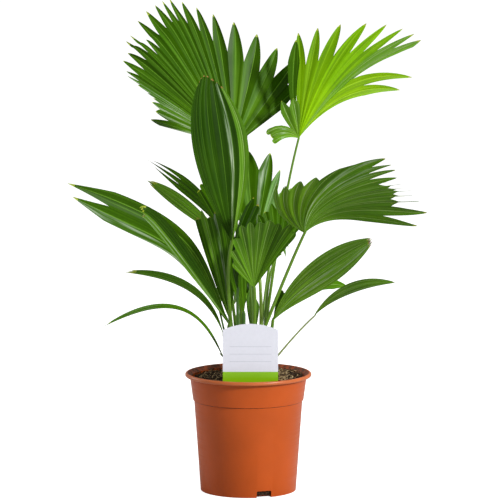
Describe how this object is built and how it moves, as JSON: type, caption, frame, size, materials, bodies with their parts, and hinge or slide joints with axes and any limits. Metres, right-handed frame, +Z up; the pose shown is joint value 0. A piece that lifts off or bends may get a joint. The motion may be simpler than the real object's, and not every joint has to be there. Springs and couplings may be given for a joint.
{
  "type": "chinese fan palm in a nursery pot",
  "caption": "Young fan palm clump: pleated fan fronds with pointed leaflets on slender stalks, growing in a round tapered nursery pot with a plain label card.",
  "frame": {"origin": "centre of the pot's flat underside, on the ground", "axes": "+Z up along the pot's axis; -Y towards the front, the side with the label card; +X to the right of the front"},
  "size_m": [0.4749, 0.3488, 0.6548],
  "materials": {
    "pot": "moulded terracotta-coloured plastic, slightly glossy, paler along the rim's edge",
    "soil": "coarse dark peat and bark with tan fibres, dry and matt",
    "label": "smooth pale card with a green band",
    "stem": "brown fibrous leaf sheaths, matt",
    "leaf_deep": "deep green waxy leaf with fine veins, half gloss",
    "leaf_dark": "dark green waxy leaf with fine veins, half gloss",
    "leaf_mid": "mid green leaf with pale ribs, half gloss",
    "leaf_fresh": "fresh green leaf with pale ribs, half gloss",
    "leaf_bright": "bright yellow-green leaf, half gloss",
    "leaf_pale": "pale green back of a leaf, matt"
  },
  "bodies": {
    "root": {"pot": "pot", "soil": "soil", "label_card": "label", "stem_left": "stem", "stem_front": "stem", "stem_right": "stem", "stem_back_right": "stem", "stem_back_left": "stem", "frond_high_left_fan": "leaf_dark", "frond_tall_front_blade": "leaf_deep", "frond_high_right_fan": "leaf_bright", "frond_right_fan": "leaf_mid", "frond_front_small_fan": "leaf_mid", "frond_left_torn": "leaf_dark", "frond_left_long": "leaf_fresh", "frond_left_arching": "leaf_dark", "frond_left_low_strap": "leaf_dark", "frond_right_low_broad": "leaf_mid", "frond_right_low_slim": "leaf_fresh", "frond_left_folded_fan": "leaf_dark", "frond_left_inner": "leaf_deep", "frond_pale_back": "leaf_pale", "frond_narrow_folded": "leaf_deep", "frond_right_inner_fan": "leaf_dark", "frond_left_rear_strap": "leaf_mid", "frond_rear_tall_fan": "leaf_dark", "frond_young_spear": "leaf_dark", "frond_rear_left_fan": "leaf_mid", "frond_rear_right_fan": "leaf_mid", "frond_rear_low_left": "leaf_fresh", "frond_rear_low_right": "leaf_dark"}
  },
  "joints": []
}
